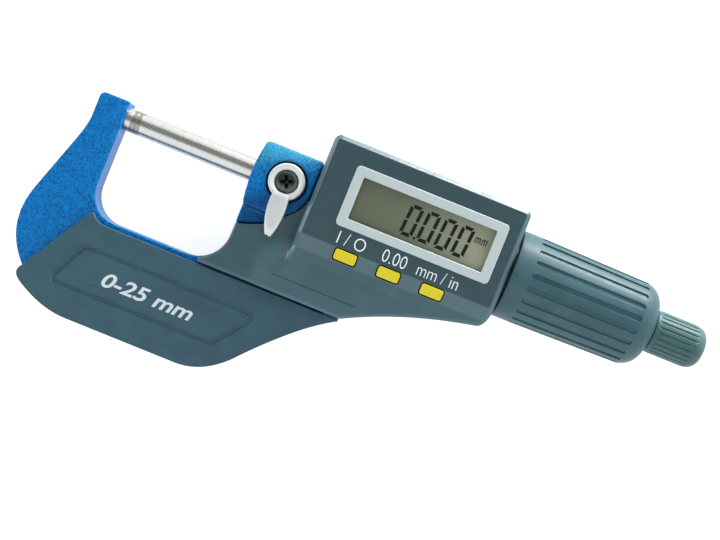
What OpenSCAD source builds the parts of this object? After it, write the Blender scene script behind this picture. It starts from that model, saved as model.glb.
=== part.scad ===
// Digital outside micrometer, 0-25 mm.
// Origin: the point on the spindle axis where the two measuring faces meet.
// +X runs along the spindle towards the ratchet, +Y to the top of the housing, +Z out of the display.

/* [Measuring] */
// Diameter of the spindle and the anvil
spindle_d = 6.5; // [6.35:0.05:6.5]
// How far the spindle opens
travel = 25.4; // [25:0.1:25.4]
// Length of each carbide measuring tip
tip_len = 1.4; // [1:0.1:1.5]
// How far the anvil stands out of the frame
anvil_reach = 3.15; // [3:0.05:3.5]
// Radius of the spindle's thread
thread_r = 3.9; // [3.7:0.05:3.9]

/* [Frame] */
// Thickness of the cast frame
frame_t = 9; // [8:0.5:9]
// Depth of the throat below the spindle axis
throat_depth = 28.15; // [27:0.05:28.5]
// Right side of the throat
throat_x = 35.8; // [35:0.1:36]
// Thickness of the lock hub
hub_t = 16; // [15:0.5:16]

/* [Grip plates] */
// Thickness of each insulating plate
grip_t = 2.5; // [2:0.1:3]
// Depth of the outline groove in each plate
grip_groove_depth = 0.5; // [0.3:0.1:0.6]

/* [Housing] */
// Left wall of the display housing
housing_x0 = 52.7; // [52.6:0.1:53]
// Right wall of the display housing
housing_x1 = 109.1; // [109:0.1:109.3]
// Top of the display housing
housing_top = 17.04; // [16.8:0.02:17.2]
// Bottom of the housing, above the grip plates
housing_bottom = -28.8; // [-29:0.1:-28.6]
// Distance from the parting plane to the display face, and to the back
housing_half = 13; // [12.8:0.1:13.2]
// Wall thickness of the housing
wall = 1.5; // [1.3:0.1:1.6]

/* [Display] */
// Width of the bezel
bezel_w = 43.85; // [43:0.05:44]
// Height of the bezel
bezel_h = 17.12; // [17:0.02:17.2]
// Width of the window seen inside the bezel
view_w = 38.27; // [38:0.01:39]
// Height of the window seen inside the bezel
view_h = 11.83; // [11.5:0.01:12]

/* [Keys] */
// Width of a key
key_w = 6.1; // [5.8:0.1:6.2]
// Height of a key
key_h = 2.9; // [2.7:0.1:3]
// Distance between keys
key_pitch = 12.4; // [12:0.1:12.6]
// How far a key travels
key_travel = 0.4; // [0.3:0.05:0.4]

/* [Thimble] */
// Radius of the thimble's open end
thimble_r = 12.5; // [12.3:0.1:12.7]
// Number of flutes around the thimble
flute_count = 21; // [18:1:24]
// Width of a flute
flute_w = 1.4; // [1.2:0.1:1.6]
// Depth of a flute
flute_depth = 0.45; // [0.3:0.05:0.5]

/* [Ratchet] */
// Radius of the ratchet knob
knob_r = 6.1; // [6:0.05:6.2]
// Number of ribs around the knob
knob_ribs = 24; // [20:1:28]

/* [Lock lever] */
// Radius of the lever's ring
lever_r = 5; // [4.8:0.1:5.2]
// Reach of the lever from its screw to its tip
lever_len = 15.2; // [14:0.1:15.4]

/* [Hidden] */
$fn = 64;

// Fits: a running fit, the joint between parts of one casing, and room for a moving part
run_gap = 0.02;
joint_gap = 0.15;
free_gap = 0.25;
// How far a cutter runs past the face it cuts
over = 1;

spindle_r = spindle_d / 2;
plate_z = frame_t / 2;
grip_z = plate_z + grip_t;
hub_z = hub_t / 2;
web_z = 6.6;

// Stations along the spindle axis
anvil_face = -anvil_reach;
bush_x = [38.6, 52];
front_boss_x = 54.4;
rotor_spring_x = [54.6, 55.8];
rotor_hub_x = [56, 71.4];
rotor_x = [70.2, 71.4];
key_x = [64, 68];
stator_x = [71.8, 73];
bulkhead_x = [73, 76];
thread_x = [93, 145];
sleeve_x = [99, 142];
rear_boss_x = [99.5, 105.5];
barrel_x = [106, 143];
barrel_flange = 2.4;
nut_x = [118, 142];
thimble_x = [110, 152.2];
core_x = [111.5, 147.5];
core_disc = 2.5;
knob_x = [152.5, 168];

// Radii about the spindle axis
bush_r = 4.2;
boss_r = 5.6;
rotor_r = 6.4;
rotor_bore_r = 4.6;
sleeve_r = [5.4, 6.4];
barrel_r = 9.6;
barrel_wall = 1;
core_r = [9.9, 10.6];
stem_r = [1.2, 2.2, 4.6, 3.4];

// Lock hub
hub_centre = [43, -0.6];
hub_arc_r = 9.2;
hub_left = 35.6;
hub_top = 8.8;
lock_x = 44.9;
lock_seat_r = 5.6;
lock_seat_z = 7;
lock_stem_r = 2.4;

// Levels of the display stack, from the board up
board_z = [6.8, 7.6];
lcd_z = [9, 11];
window_t = 0.75;
bezel_z = [11.75, 13.15];
bezel_centre = [83.065, 2.81];
view_centre = [83.065, 2.765];

// Keys lie on the ramp below the display
ramp_y = [-11.14, -15];
ramp_drop = 2;
key_row_y = -12.96;
key_row_x = 67.14;
key_proud = 0.6;
dome_top = board_z[1] + 0.4;

// Battery
cell_at = [88, 1];
cell_r = 5.8;
cell_z = [-11.3, -5.9];
cap_r = 7.4;

// Screw places
cover_screw_at = [[56, 13.7], [105.8, 14.4], [104.6, -13.2], [40.5, -24.5], [66, -24.5]];
cover_boss_top = [12, 12, 10.5, 7.5, 9.3];
cover_hole_top = [7.5, 7.5, 7.5, 6, 7.5];
// The first three stand clear of the frame, and the others pass through it
free_screws = 3;
grip_screw_at = [[4, -42.5], [38, -42.5]];
board_screw_at = [[57.2, 6], [57.2, -7], [99.5, -12.4]];

// ---- Curves and plain shapes ----

// Points of a quadratic curve from a to b, pulled towards c
function curve(a, c, b, n = 8) =
    [for (i = [0:n]) let (t = i / n) a * (1 - t) * (1 - t) + c * 2 * t * (1 - t) + b * t * t];

// Points of an arc
function arc(centre, r, from, to, n = 8) =
    [for (i = [0:n]) let (a = from + (to - from) * i / n) centre + r * [cos(a), sin(a)]];

module slab(z0, z1) {
    translate([0, 0, z0]) linear_extrude(z1 - z0) children();
}

// A shape given in Y and Z, drawn out along X
module along_x(x0, x1) {
    translate([x0, 0, 0]) rotate([90, 0, 90]) linear_extrude(x1 - x0) children();
}

// A shape given in X and Z, drawn out along Y
module along_y(y0, y1) {
    translate([0, y1, 0]) rotate([90, 0, 0]) linear_extrude(y1 - y0) children();
}

module box(low, high) {
    translate(low) cube(high - low);
}

module bar(x0, x1, r) {
    translate([x0, 0, 0]) rotate([0, 90, 0]) cylinder(h = x1 - x0, r = r);
}

module ring(x0, x1, r_out, r_in) {
    difference() {
        bar(x0, x1, r_out);
        bar(x0 - over, x1 + over, r_in);
    }
}

// A shape given as radius and X, turned about the spindle axis
module turned() {
    rotate([0, 90, 0]) mirror([0, 0, 1]) rotate_extrude() mirror([0, 1]) children();
}

module post(at, z0, z1, r) {
    translate([at[0], at[1], z0]) cylinder(h = z1 - z0, r = r);
}

module round_rect(centre, w, h, r) {
    translate(centre) {
        square([w - 2 * r, h], center = true);
        square([w, h - 2 * r], center = true);
        for (x = [-1, 1], y = [-1, 1])
            translate([x * (w / 2 - r), y * (h / 2 - r)]) circle(r);
    }
}

// A torus about an axis parallel to Z
module o_ring(at, z, r, section_r) {
    translate([at[0], at[1], z]) rotate_extrude() translate([r, 0]) circle(section_r, $fn = 24);
}

// ---- Outlines seen from the front ----

// The throat's edge, from the lock hub round to the anvil
throat_left_r = 8.5;
throat_right_r = 9.5;
throat_edge = concat(
    arc([throat_x - throat_right_r, throat_right_r - throat_depth], throat_right_r, 0, -90),
    arc([anvil_face + throat_left_r, throat_left_r - throat_depth], throat_left_r, -90, -180)
);

// Lower right sweep shared by the housing and the grip plates
sweep_end = [106.4, -16.9];
sweep_tip = [72, housing_bottom];

frame_corner = 1.4;
arm_left = -11.64;
arm_widest = -20.06;
arm_outer = concat(
    arc([arm_left + frame_corner, 4.5 - frame_corner], frame_corner, 90, 180, 5),
    curve([arm_left, -3.1], [-11.8, -5.7], [-13.2, -10], 4),
    curve([-18.7, -26.4], [arm_widest, -30.5], [arm_widest, -34], 5),
    curve([arm_widest, -34], [arm_widest, -41.5], [-14.2, -47.7], 8)
);

module grip_outline() {
    polygon(concat(
        curve([-2.2, -28.8], [-1.1, -26.3], [-0.2, -27.9], 4),
        curve([-0.2, -27.9], [1.2, -29.5], [4.4, -29.5], 4),
        [[71.2, -29.5]],
        curve([71.9, -29.7], [62.96, -34.6], [50.5, -48.3], 8),
        curve([50.5, -48.3], [43.5, -56.7], [34.7, -56.7], 6),
        curve([2.5, -56.7], [-4.5, -56.6], [-11.9, -52.2], 5),
        curve([-11.9, -52.2], [-15.8, -50], [-13.2, -47.3], 6)
    ));
}

module frame_outline() {
    polygon(concat(
        [[anvil_face, 4.5]],
        arm_outer,
        [[-11, -49], [0, -50], [64, -31.6], [68, -29.2], [68.3, -27.2], [64, -17], [52, -9.5],
         [throat_x, -9.5]],
        throat_edge
    ));
    offset(delta = -1.8) grip_outline();
}

module hub_outline() {
    polygon(concat(
        arc([hub_left + 1.3, hub_top - 1.3], 1.3, 90, 180, 4),
        curve([hub_left, 7], [34.2, 0], [hub_left, -8.8], 8),
        [[hub_left + 0.4, -9.8]],
        arc(hub_centre, hub_arc_r, -90, 0, 12),
        [[hub_centre[0] + hub_arc_r, hub_top]]
    ));
}

module web_outline() {
    polygon(concat(
        [[throat_x, -9.5]],
        curve([throat_x, -15.2], [40.5, -14.2], [46.4, -11], 5),
        [[47.3, -9.5]]
    ));
}

module housing_outline() {
    r = 1.8;
    polygon(concat(
        arc([housing_x0 + r, housing_top - r], r, 180, 90, 5),
        arc([housing_x1 - r, housing_top - r], r, 90, 0, 5),
        curve([housing_x1, -12.6], [108.6, -16.3], sweep_end, 5),
        curve(sweep_end, [87.15, -20.77], sweep_tip, 8),
        [[30.4, housing_bottom]],
        arc([throat_x - throat_right_r, throat_right_r - throat_depth], throat_right_r + 0.3,
            -66, 0, 7),
        [[throat_x + 0.3, -9], [48, -9], [51, -2.6], [housing_x0, -2.6]]
    ));
}

// ---- Frame ----

module rail(grow = 0) {
    box([48, -14 - grow, -5 - grow], [101, -7.6 + grow, 1 + grow]);
}

module frame() {
    color("royalblue") difference() {
        union() {
            slab(-plate_z, plate_z) frame_outline();
            slab(-web_z, web_z) web_outline();
            slab(-hub_z, hub_z) hub_outline();
            bar(50, front_boss_x, boss_r);
            rail();
            bar(bulkhead_x[0], bulkhead_x[1], rotor_r);
            box([bulkhead_x[0], -8, -5], [bulkhead_x[1], -5, 1]);
            bar(rear_boss_x[0], rear_boss_x[1], 6.6);
            box([rear_boss_x[0], -8, -5], [101, -5, 1]);
        }
        bar(-9.5, 0, 2.5);
        bar(30, bush_x[0], spindle_r + 0.05);
        bar(bush_x[0], 58, bush_r);
        bar(bulkhead_x[0] - over, bulkhead_x[1] + over, 5);
        bar(rear_boss_x[0] - over, rear_boss_x[1] + over, sleeve_r[0]);
        post([lock_x, 0], lock_seat_z, hub_z + over, lock_seat_r);
        post([lock_x, 0], 0, hub_z, lock_stem_r + 0.05);
        for (i = [free_screws:len(cover_screw_at) - 1]) post(cover_screw_at[i], -hub_z, hub_z, 1.3);
        for (p = grip_screw_at) post(p, -hub_z, hub_z, 1.3);
    }
}

module anvil() {
    color("silver") union() {
        bar(-9.4, anvil_face, 2.5);
        bar(anvil_face, -tip_len, spindle_r);
    }
}

module anvil_tip() {
    color("dimgray") bar(-tip_len, 0, spindle_r);
}

module lock_bush() {
    slit = 0.6;
    color("darkgoldenrod") difference() {
        ring(bush_x[0], bush_x[1], bush_r, spindle_r + run_gap);
        box([bush_x[0] + 2, -slit / 2, -bush_r - over], [bush_x[1] + over, slit / 2, 0]);
    }
}

// ---- Grip plates ----

// The sunk line around the middle of a plate, as a wide polygon and a narrow one
module grip_line() {
    outer = [[0.2, -35.9], [49.2, -35.9], [50.9, -38], [42.6, -48.9], [-4.6, -49.1], [-5.4, -47]];
    difference() {
        polygon(outer);
        offset(delta = -1.5) polygon(outer);
    }
}

// A plate on the front of the frame, less the screw holes given as children
module grip_plate() {
    difference() {
        slab(plate_z, grip_z) grip_outline();
        slab(grip_z - grip_groove_depth, grip_z + over) grip_line();
        children();
    }
}

module front_grip_plate() {
    color("slategray") grip_plate()
        for (p = grip_screw_at) post(p, plate_z - over, plate_z + 1.7, 1.05);
}

module rear_grip_plate() {
    color("slategray") mirror([0, 0, 1]) grip_plate()
        for (p = grip_screw_at) {
            post(p, plate_z - over, grip_z + over, 1.15);
            post(p, grip_z - 1.3, grip_z + over, 2.1);
        }
}

// A pan-head screw driven towards +Z, with a cross recess
module screw(at, head_z, head_t, head_r, shank_r, tip_z) {
    slot = head_r * 0.28;
    difference() {
        union() {
            post(at, head_z, head_z + head_t, head_r);
            post(at, head_z + head_t, tip_z, shank_r);
        }
        for (a = [0, 90]) translate([at[0], at[1], head_z]) rotate([0, 0, a])
            cube([head_r * 1.2, slot, head_t], center = true);
    }
}

module grip_plate_screws() {
    color("gray") for (p = grip_screw_at)
        screw(p, -grip_z + 0.2, 1.1, 1.95, 1, plate_z + 1.5);
}

// ---- Housing ----

collar_z = 8.5;
body_z = 10.3;
edge = 1.5;

// Side profiles of the front cover, shrunk by w for its inside
function front_rows(w) = [
    [housing_top - w, -over],
    [housing_top - w, housing_half - edge],
    [housing_top - w - edge, housing_half - w],
    [ramp_y[0] + w / 4, housing_half - w],
    [ramp_y[1] + w / 4, housing_half - ramp_drop - w],
    [housing_bottom + w + edge, body_z - w],
    [housing_bottom + w, body_z - edge],
    [housing_bottom + w, -over]
];

function front_columns(w) = [
    [housing_x0 + w, -over],
    [housing_x0 + w, housing_half - edge],
    [housing_x0 + w + edge, housing_half - w],
    [housing_x1 - w - edge, housing_half - w],
    [housing_x1 - w, housing_half - edge],
    [housing_x1 - w, -over]
];

module housing_prism(w) {
    linear_extrude(4 * housing_half, center = true) offset(delta = -w) housing_outline();
}

// The front cover's outer form for w = 0, and the hollow inside it for w = wall
module front_form(w) {
    intersection() {
        housing_prism(w);
        along_x(housing_x0, housing_x1) polygon(front_rows(w));
        along_y(housing_bottom - over, housing_top + over) polygon(front_columns(w));
    }
    intersection() {
        housing_prism(w);
        along_y(-16, -2) polygon([[28, -over], [28, collar_z - w], [60, collar_z - w], [60, -over]]);
    }
    intersection() {
        housing_prism(w);
        along_y(housing_bottom, -16) polygon([
            [28, -over], [28, collar_z - w], [45.5, collar_z - w], [50, body_z - w],
            [60, body_z - w], [60, -over]
        ]);
    }
}

module rear_form(w) {
    back = -housing_half + w;
    intersection() {
        housing_prism(w);
        along_x(20, housing_x1) polygon([
            [housing_top - w, over], [housing_top - w, back + edge], [housing_top - w - edge, back],
            [housing_bottom + w + edge, back], [housing_bottom + w, back + edge],
            [housing_bottom + w, over]
        ]);
        along_y(housing_bottom - over, housing_top + over) polygon([
            [20, over], [20, -collar_z + w], [32, -collar_z + w], [37, back],
            [housing_x1 - w - edge, back], [housing_x1 - w, back + edge], [housing_x1 - w, over]
        ]);
    }
}

// What the frame, the barrel and the spindle need clear in both covers
module frame_clearance() {
    slab(-plate_z - joint_gap, plate_z + joint_gap) offset(delta = joint_gap) frame_outline();
    linear_extrude(4 * housing_half, center = true) offset(delta = free_gap) {
        hub_outline();
        web_outline();
    }
    bar(50, 58, boss_r + free_gap);
    rail(free_gap);
    bar(housing_x1 - 2 * wall, housing_x1 + over, barrel_r + 0.1);
    bar(housing_x1 - 2 * wall, housing_x1 - 0.6, barrel_r + 0.7);
}

module front_cover() {
    color("slategray") difference() {
        union() {
            difference() {
                intersection() {
                    front_form(0);
                    box([0, -40, 0], [120, 40, 20]);
                }
                front_form(wall);
            }
            for (i = [0:len(cover_screw_at) - 1])
                post(cover_screw_at[i], i < free_screws ? 0 : plate_z, cover_boss_top[i], 2);
            for (p = board_screw_at) post(p, board_z[1], p[1] < ramp_y[0] ? 11.2 : 12, 1.5);
        }
        frame_clearance();
        slab(housing_half - 2 * wall, housing_half + over)
            round_rect(bezel_centre, bezel_w, bezel_h, 1.3);
        for (i = [0:2])
            slab(5, housing_half + over) round_rect([key_row_x + i * key_pitch, key_row_y],
                key_w + 0.5, key_h + 0.5, 0.7);
        for (i = [0:len(cover_screw_at) - 1])
            post(cover_screw_at[i], -over, cover_hole_top[i], 1.05);
        for (p = board_screw_at) post(p, board_z[1] - over, 9.4, 0.75);
        // Thin line across the lower body
        box([50.5, -24.5, body_z - 0.2], [75, -24.1, body_z + 1]);
    }
}

module rear_cover() {
    color("slategray") difference() {
        union() {
            difference() {
                intersection() {
                    rear_form(0);
                    box([0, -40, -20], [120, 40, 0]);
                }
                rear_form(wall);
            }
            for (i = [0:len(cover_screw_at) - 1])
                post(cover_screw_at[i], 1 - housing_half, i < free_screws ? 0 : -plate_z, 2);
            post(cell_at, 1 - housing_half, cell_z[1], cap_r + 1.2);
        }
        frame_clearance();
        for (p = cover_screw_at) {
            post(p, -housing_half - over, over, 1.1);
            post(p, -housing_half - over, -housing_half + 1.2, 2.1);
        }
        post(cell_at, -housing_half - over, over, cap_r + 0.15);
    }
}

module cover_screws() {
    color("gray") for (i = [0:len(cover_screw_at) - 1])
        screw(cover_screw_at[i], -housing_half + 0.15, 1, 1.9, 1, cover_hole_top[i] - 0.3);
}

// ---- Display ----

module display_bezel() {
    color("gainsboro") difference() {
        slab(bezel_z[0], bezel_z[1]) round_rect(bezel_centre, bezel_w - 0.1, bezel_h - 0.1, 1.25);
        slab(bezel_z[0] - over, bezel_z[1] + over) round_rect(view_centre, view_w, view_h, 0.4);
    }
}

module display_window() {
    color([0.8, 0.9, 0.9, 0.4]) slab(lcd_z[1], lcd_z[1] + window_t)
        round_rect(bezel_centre, bezel_w - 0.4, bezel_h - 0.4, 1);
}

module lcd_panel() {
    color("darkkhaki") slab(lcd_z[0], lcd_z[1]) round_rect(bezel_centre, 42.1, 16, 0.5);
}

module lcd_holder() {
    color("white") difference() {
        slab(board_z[1], lcd_z[1]) round_rect(bezel_centre, 45, 18.8, 1);
        slab(board_z[1] - over, lcd_z[1] + over) round_rect(bezel_centre, 42.3, 16.2, 0.55);
    }
}

module contact_strips() {
    color("pink") for (side = [-1, 1])
        translate([0, bezel_centre[1] + side * 6.9, 0])
            box([64, -0.8, board_z[1]], [102, 0.8, lcd_z[0]]);
}

module main_board() {
    color("darkgreen") difference() {
        slab(board_z[0], board_z[1]) {
            translate([59.5, -9.5]) square([45.8, 21.7]);
            translate([54.8, -15]) square([46.6, 24.3]);
        }
        for (p = board_screw_at) post(p, board_z[0] - over, board_z[1] + over, 0.9);
    }
}

module controller_chip() {
    color("black") box([79, -1, board_z[1]], [87, 7, board_z[1] + 1]);
}

module board_connector() {
    color("ivory") box([80, -3.5, 5.6], [83, 3.5, 6.55]);
}

module ribbon_cable() {
    color("chocolate") box([stator_x[0], -2.5, 6.55], [82.6, 2.5, 6.7]);
}

module key_domes() {
    color("silver") for (i = [0:2])
        post([key_row_x + i * key_pitch, key_row_y], board_z[1], dome_top, 1.8);
}

module board_screws() {
    color("gray") for (p = board_screw_at) screw(p, board_z[0] - 1, 1, 1.4, 0.7, 9.2);
}

// ---- Keys ----

// A key: its slanted cap, its flange inside the cover and the stem over its dome
module key_button(index) {
    x = key_row_x + index * key_pitch;
    slope = ramp_drop / (ramp_y[0] - ramp_y[1]);
    top = housing_half - (ramp_y[0] - key_row_y) * slope + key_proud;
    reach = key_h / 2 + over;
    color("gold") {
        intersection() {
            slab(8.9, housing_half + over) round_rect([x, key_row_y], key_w, key_h, 0.6);
            along_x(x - key_w, x + key_w) polygon([
                [key_row_y - reach, 0], [key_row_y - reach, top - reach * slope],
                [key_row_y + reach, top + reach * slope], [key_row_y + reach, 0]
            ]);
        }
        slab(8.7, 9.1) round_rect([x, key_row_y], key_w + 1.2, key_h + 0.7, 0.6);
        post([x, key_row_y], dome_top + key_travel + 0.05, 8.8, 1);
    }
}

module on_off_button() {
    key_button(0);
}

module zero_button() {
    key_button(1);
}

module unit_button() {
    key_button(2);
}

// ---- Encoder ----

module encoder_stator() {
    color("seagreen") difference() {
        union() {
            bar(stator_x[0], stator_x[1], rotor_r);
            box([stator_x[0], -2.5, 4], [stator_x[1], 2.5, 6.55]);
        }
        bar(stator_x[0] - over, stator_x[1] + over, 5);
    }
}

module encoder_rotor() {
    color("seagreen") ring(rotor_x[0], rotor_x[1], rotor_r, rotor_bore_r);
}

module rotor_hub() {
    key_half = 0.5;
    color("goldenrod") union() {
        ring(rotor_hub_x[0], rotor_hub_x[1], rotor_bore_r, spindle_r + run_gap);
        box([key_x[0], 2.6, -key_half], [key_x[1], spindle_r + 0.5, key_half]);
    }
}

module rotor_spring() {
    color("silver") ring(rotor_spring_x[0], rotor_spring_x[1], 5.2, 3.7);
}

// ---- Sleeve and barrel ----

module inner_sleeve() {
    slit = 0.8;
    color("lightgray") difference() {
        union() {
            bar(sleeve_x[0], barrel_x[0] + barrel_flange, sleeve_r[0]);
            bar(barrel_x[0] + barrel_flange, 133, sleeve_r[1]);
            bar(133, sleeve_x[1], boss_r);
        }
        bar(sleeve_x[0] - over, nut_x[0], thread_r + 0.4);
        bar(nut_x[0] - over, nut_x[1] + over, thread_r + 0.05);
        for (a = [0:120:240]) rotate([a, 0, 0])
            box([129, -slit / 2, 0], [sleeve_x[1] + over, slit / 2, sleeve_r[1] + over]);
    }
}

module adjusting_nut() {
    color("silver") difference() {
        ring(134.5, 139.5, 7.4, boss_r);
        for (a = [0, 180]) rotate([a, 0, 0]) box([138, -0.8, 6.4], [141, 0.8, 8]);
    }
}

module barrel() {
    color("gainsboro") difference() {
        bar(barrel_x[0], barrel_x[1], barrel_r);
        bar(barrel_x[0] + barrel_flange, barrel_x[1] + over, barrel_r - barrel_wall);
        bar(barrel_x[0] - over, barrel_x[1], sleeve_r[0]);
    }
}

module barrel_seal() {
    section_r = 0.33;
    color("black") translate([housing_x1 - 1.2, 0, 0]) rotate([0, 90, 0])
        rotate_extrude() translate([barrel_r + section_r + 0.02, 0]) circle(section_r, $fn = 24);
}

// ---- Battery ----

module coin_cell() {
    color("silver") union() {
        post(cell_at, cell_z[0], cell_z[1] - 0.4, cell_r);
        post(cell_at, cell_z[1] - 0.4, cell_z[1], cell_r - 1);
    }
}

module battery_contact_positive() {
    color("gold") difference() {
        post(cell_at, cell_z[0] + 0.6, cell_z[1] - 0.8, cell_r + 0.6);
        post(cell_at, cell_z[0] - over, cell_z[1] + over, cell_r + 0.25);
        box([cell_at[0] - 9, cell_at[1] - 9, cell_z[0] - over], [cell_at[0] + 2, cell_at[1] + 9, 0]);
    }
}

module battery_contact_negative() {
    color("gold") box([cell_at[0] - 4, cell_at[1] - 2, cell_z[1] + 0.1],
        [cell_at[0] + 4, cell_at[1] + 2, cell_z[1] + 0.4]);
}

module battery_cap() {
    outer = -housing_half + 0.2;
    slot_w = 1.4;
    color("slategray") difference() {
        union() {
            post(cell_at, outer, outer + 0.9, cap_r);
            post(cell_at, outer + 0.9, cell_z[0] - 0.1, cap_r - 0.8);
        }
        box([cell_at[0] - 4.5, cell_at[1] - slot_w / 2, outer - over],
            [cell_at[0] + 4.5, cell_at[1] + slot_w / 2, outer + 0.6]);
    }
}

module battery_seal() {
    color("black") o_ring(cell_at, -11.47, 7.04, 0.4);
}

// ---- Spindle and thimble ----

module spindle() {
    color("silver") difference() {
        union() {
            bar(tip_len, thread_x[0], spindle_r);
            bar(thread_x[0], thread_x[1], thread_r);
            bar(thread_x[1], core_x[1] + 0.5, 3);
        }
        // Keyway, as long as the travel and the key together
        box([key_x[0] - travel - 0.6, 2.5, -0.55], [key_x[1] + 0.6, spindle_r + over, 0.55]);
        bar(thread_x[1] - 4, core_x[1] + over, stem_r[0] + 0.05);
    }
}

module spindle_tip() {
    color("dimgray") bar(0, tip_len, spindle_r);
}

module thimble_core() {
    color("lightgray") difference() {
        bar(core_x[0], core_x[1], core_r[1]);
        bar(core_x[0] - over, core_x[1] - core_disc, core_r[0]);
        bar(core_x[0], core_x[1] + over, 3);
    }
}

thimble_end_r = 11.9;
// Radius of the thimble against X, from its open end over the shoulder to the ratchet
thimble_profile = concat(
    [[thimble_x[0], 10], [thimble_x[0], thimble_r - 0.3], [thimble_x[0] + 0.3, thimble_r],
     [115, thimble_r], [146, thimble_end_r]],
    curve([148.3, 11.5], [151.3, 10.6], [152, 7], 7),
    [[thimble_x[1], 6.2], [thimble_x[1], 4.8], [core_x[1], 4.8], [core_x[1], core_r[1]],
     [core_x[0], core_r[1]], [core_x[0], 10]]
);

module thimble() {
    flute_x = [115.2, 146.8];
    taper = atan((thimble_r - thimble_end_r) / (flute_x[1] - flute_x[0]));
    color("slategray") difference() {
        turned() polygon([for (p = thimble_profile) [p[1], p[0]]]);
        for (i = [0:flute_count - 1])
            rotate([-5.97 - i * 360 / flute_count, 0, 0])
                translate([flute_x[0], 0, thimble_r - flute_depth]) rotate([0, taper, 0])
                    box([0, -flute_w / 2, 0], [flute_x[1] - flute_x[0], flute_w / 2, 2 * over]);
    }
}

module ratchet_stem() {
    color("silver") union() {
        bar(thread_x[1] - 3.5, 148, stem_r[0]);
        bar(148, 150, stem_r[2]);
        bar(150, 164, stem_r[1]);
        bar(164, 165.2, stem_r[3]);
    }
}

// Ratchet teeth: wedges standing on a disc's face
module teeth(x0, x1) {
    count = 12;
    for (i = [0:count - 1]) rotate([i * 360 / count, 0, 0]) translate([0, 0, 2.6])
        linear_extrude(1.8) polygon([[x0, 0], [x1, 0.15], [x0, 0.75]]);
}

module ratchet_disc() {
    color("gray") union() {
        ring(150.1, 152.4, 4.6, stem_r[1]);
        teeth(152.3, 152.9);
    }
}

module ratchet_pawl() {
    color("gray") union() {
        ring(153.6, 155.6, 4.8, stem_r[1] + 0.1);
        teeth(153.7, 153.05);
    }
}

// Coil spring swept along a helix
spring_turns = 5;
spring_steps = 12;
spring_r = 3.3;
wire_r = 0.35;
spring_x = [155.65, 163.95];

module ratchet_spring() {
    rings = spring_turns * spring_steps;
    sides = 8;
    length = spring_x[1] - spring_x[0] - 2 * wire_r;
    pts = [for (i = [0:rings], k = [0:sides - 1])
        let (a = i * 360 / spring_steps, b = k * 360 / sides, r = spring_r + wire_r * cos(b))
            [spring_x[0] + wire_r + length * i / rings + wire_r * sin(b), r * cos(a), r * sin(a)]];
    sides_faces = [for (i = [0:rings - 1], k = [0:sides - 1])
        let (n = (k + 1) % sides)
            [i * sides + k, i * sides + n, (i + 1) * sides + n, (i + 1) * sides + k]];
    ends = [[for (k = [sides - 1:-1:0]) k], [for (k = [0:sides - 1]) rings * sides + k]];
    color("silver") polyhedron(pts, concat(sides_faces, ends));
}

module ratchet_knob() {
    rib_x = [153.4, 164.6];
    color("slategray") difference() {
        turned() polygon(concat(
            [[0, 165.6], [4.9, 165.6], [4.9, knob_x[0]], [knob_r, knob_x[0]]],
            curve([knob_r, 163.6], [knob_r, 167.3], [3, 167.8], 6),
            [[0, knob_x[1]]]
        ));
        for (i = [0:knob_ribs - 1]) rotate([i * 360 / knob_ribs, 0, 0])
            box([rib_x[0], -0.3, knob_r - 0.3], [rib_x[1], 0.3, knob_r + over]);
    }
}

// ---- Spindle lock ----

module lock_lever() {
    color("whitesmoke") difference() {
        union() {
            post([lock_x, 0], lock_seat_z + 0.2, 9.9, lever_r);
            translate([lock_x, 0, 0]) slab(8.8, 10.8) polygon(concat(
                [[-2.2, -3.2]],
                curve([-2.5, -4.4], [-2.9, -9.2], [-0.9, 0.4 - lever_len], 6),
                [[-0.5, -lever_len], [0.9, -lever_len]],
                curve([1.3, 0.5 - lever_len], [3.1, -9.2], [2.5, -4.4], 6),
                [[2.2, -3.2]]
            ));
        }
        post([lock_x, 0], 8.3, 12, 3.25);
        post([lock_x, 0], 0, 12, 1.3);
    }
}

module lock_screw() {
    slot = 0.8;
    color("black") difference() {
        union() {
            post([lock_x, 0], 8.3, 9.6, 3.15);
            post([lock_x, 0], 5, 8.3, 1.2);
        }
        for (a = [0, 90]) translate([lock_x, 0, 9.6]) rotate([0, 0, a])
            cube([4, slot, 1.4], center = true);
    }
}

module lock_cam() {
    color("silver") difference() {
        post([lock_x, 0], bush_r + 0.1, lock_seat_z + 0.2, lock_stem_r);
        post([lock_x, 0], 4.8, lock_seat_z + over, 1.25);
    }
}

// ---- Nodes ----

frame();
anvil();
anvil_tip();
lock_bush();
front_grip_plate();
rear_grip_plate();
grip_plate_screws();
front_cover();
rear_cover();
cover_screws();
display_bezel();
display_window();
lcd_panel();
lcd_holder();
contact_strips();
main_board();
controller_chip();
board_connector();
ribbon_cable();
key_domes();
board_screws();
encoder_stator();
inner_sleeve();
adjusting_nut();
barrel();
barrel_seal();
coin_cell();
battery_contact_positive();
battery_contact_negative();
battery_cap();
battery_seal();
encoder_rotor();
rotor_hub();
rotor_spring();
spindle();
spindle_tip();
thimble_core();
thimble();
ratchet_stem();
ratchet_disc();
ratchet_knob();
ratchet_pawl();
ratchet_spring();
lock_lever();
lock_screw();
lock_cam();
on_off_button();
zero_button();
unit_button();
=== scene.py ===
"""A digital outside micrometer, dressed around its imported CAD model.

Lengths are in millimetres, in the CAD's own frame, until a mesh is made.
"""
import math

import bmesh
import bpy
import numpy as np
from mathutils import Matrix, Vector

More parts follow.
